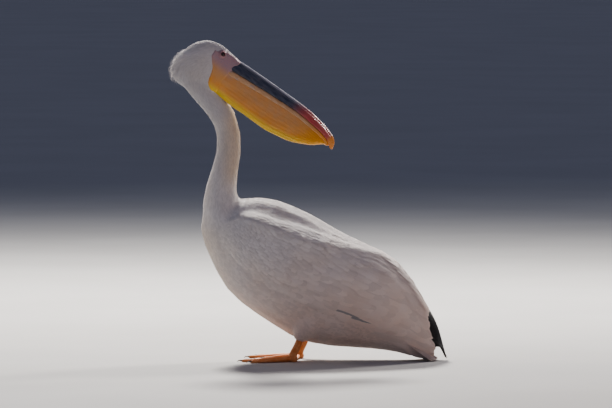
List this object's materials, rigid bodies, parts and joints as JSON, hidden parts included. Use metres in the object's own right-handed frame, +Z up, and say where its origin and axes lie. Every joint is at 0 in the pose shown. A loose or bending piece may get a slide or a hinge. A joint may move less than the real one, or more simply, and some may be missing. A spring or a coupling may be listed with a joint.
{
  "type": "pelican",
  "caption": "Great white pelican at rest, a still life-size model with its head turned back over its shoulders and its long pouched bill pointing down towards its tail.",
  "frame": {"origin": "on the ground, under the centre of the bird's bounding box", "axes": "+Z up; the bird's breast faces -Y and its tail +Y; +X is the bird's left side, which the picture sees"},
  "size_m": [0.2952, 0.794, 0.9028],
  "materials": {
    "plumage": "white feathers with a faint pink and cream flush, matt",
    "flight_feathers": "black flight feathers, slightly glossy",
    "bill_horn": "grey-blue horn with a pale ridge, satin",
    "jaw_horn": "peach and grey horn, satin",
    "pouch_skin": "yellow-orange skin, finely wrinkled, satin",
    "leg_skin": "orange-pink scaled skin, satin",
    "eye": "dark red-brown, wet gloss"
  },
  "bodies": {
    "root": {"head": "plumage", "crest": "plumage", "eye_left": "eye", "eye_right": "eye", "bill_upper": "bill_horn", "bill_lower": "jaw_horn", "pouch": "pouch_skin", "neck_upper": "plumage", "neck_lower": "plumage", "trunk": "plumage", "tail": "plumage", "wing_left": "plumage", "wing_right": "plumage", "flight_feathers_left": "flight_feathers", "flight_feathers_right": "flight_feathers", "thigh_left": "plumage", "thigh_right": "plumage", "shank_left": "leg_skin", "shank_right": "leg_skin", "foot_left": "leg_skin", "foot_right": "leg_skin"}
  },
  "joints": []
}
